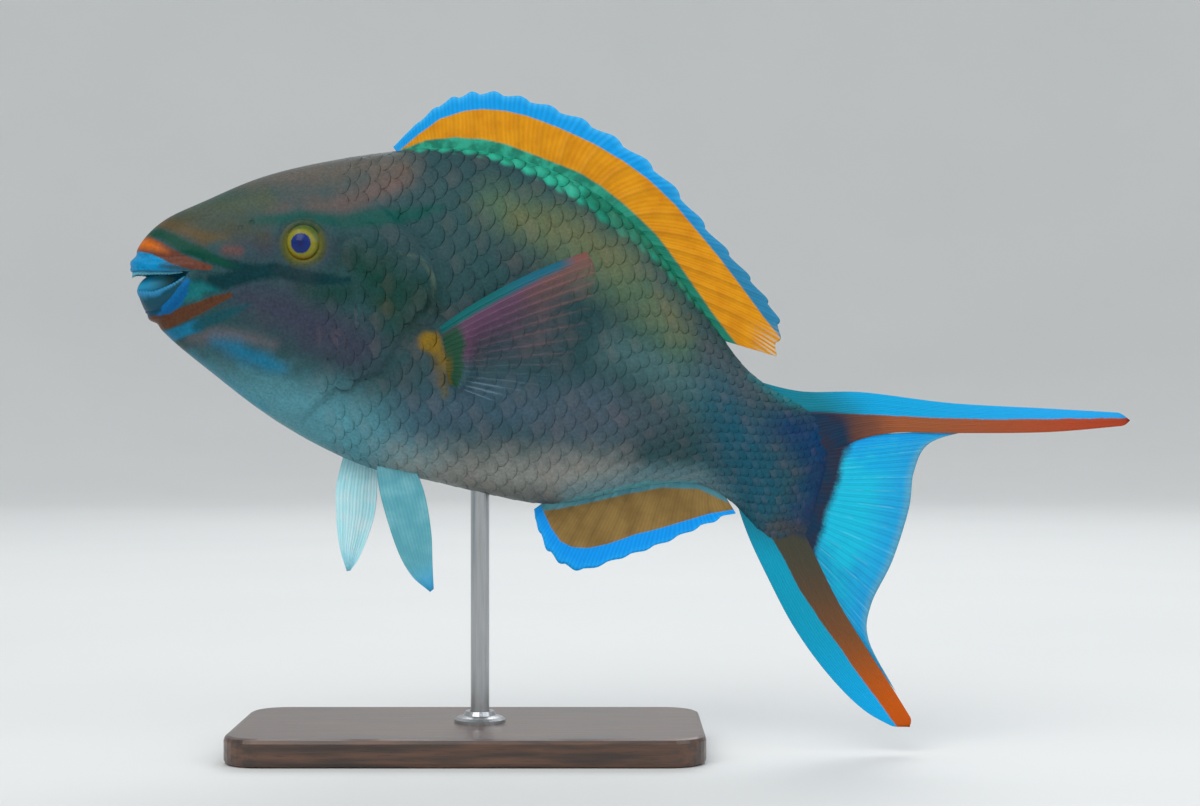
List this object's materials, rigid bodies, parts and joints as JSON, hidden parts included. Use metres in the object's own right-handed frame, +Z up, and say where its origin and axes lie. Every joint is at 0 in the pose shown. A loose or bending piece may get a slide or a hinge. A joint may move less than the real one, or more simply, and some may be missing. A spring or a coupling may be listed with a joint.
{
  "type": "parrotfish",
  "caption": "Life-size model of a male parrotfish, swimming head up with its fins spread and its tail fin's long lobes out, held by a rod on a flat display base.",
  "frame": {"origin": "middle of the underside of the display base", "axes": "+X towards the tail along the fish, +Y towards its right side, +Z up"},
  "size_m": [0.4226, 0.104, 0.2828],
  "materials": {
    "skin": "scaled skin, grey green flanks, green band under the dorsal fin, satin",
    "beak": "blue green fused tooth plates, pale at the cutting edge, glossy",
    "eye": "yellow iris, dark blue pupil, clear polished",
    "orange_fin": "orange membrane with fine rays and a blue scalloped edge, satin",
    "tail_fin": "blue membrane with fine rays and an orange streak in each lobe, satin",
    "pectoral_fin": "clear membrane with rose rays and a blue leading edge, satin",
    "pelvic_fin": "pale blue membrane with fine rays, satin",
    "base_wood": "dark stained wood, satin varnish",
    "steel": "brushed"
  },
  "bodies": {
    "root": {"head": "skin", "gill_cover_left": "skin", "gill_cover_right": "skin", "trunk": "skin", "tail_stem": "skin", "beak_upper": "beak", "beak_lower": "beak", "eye_left": "eye", "eye_right": "eye", "dorsal_fin": "orange_fin", "anal_fin": "orange_fin", "tail_fin_upper_lobe": "tail_fin", "tail_fin_web": "tail_fin", "tail_fin_lower_lobe": "tail_fin", "pectoral_fin_left": "pectoral_fin", "pectoral_fin_right": "pectoral_fin", "pelvic_fin_left": "pelvic_fin", "pelvic_fin_right": "pelvic_fin", "stand_base": "base_wood", "stand_rod": "steel", "stand_collar": "steel"}
  },
  "joints": []
}
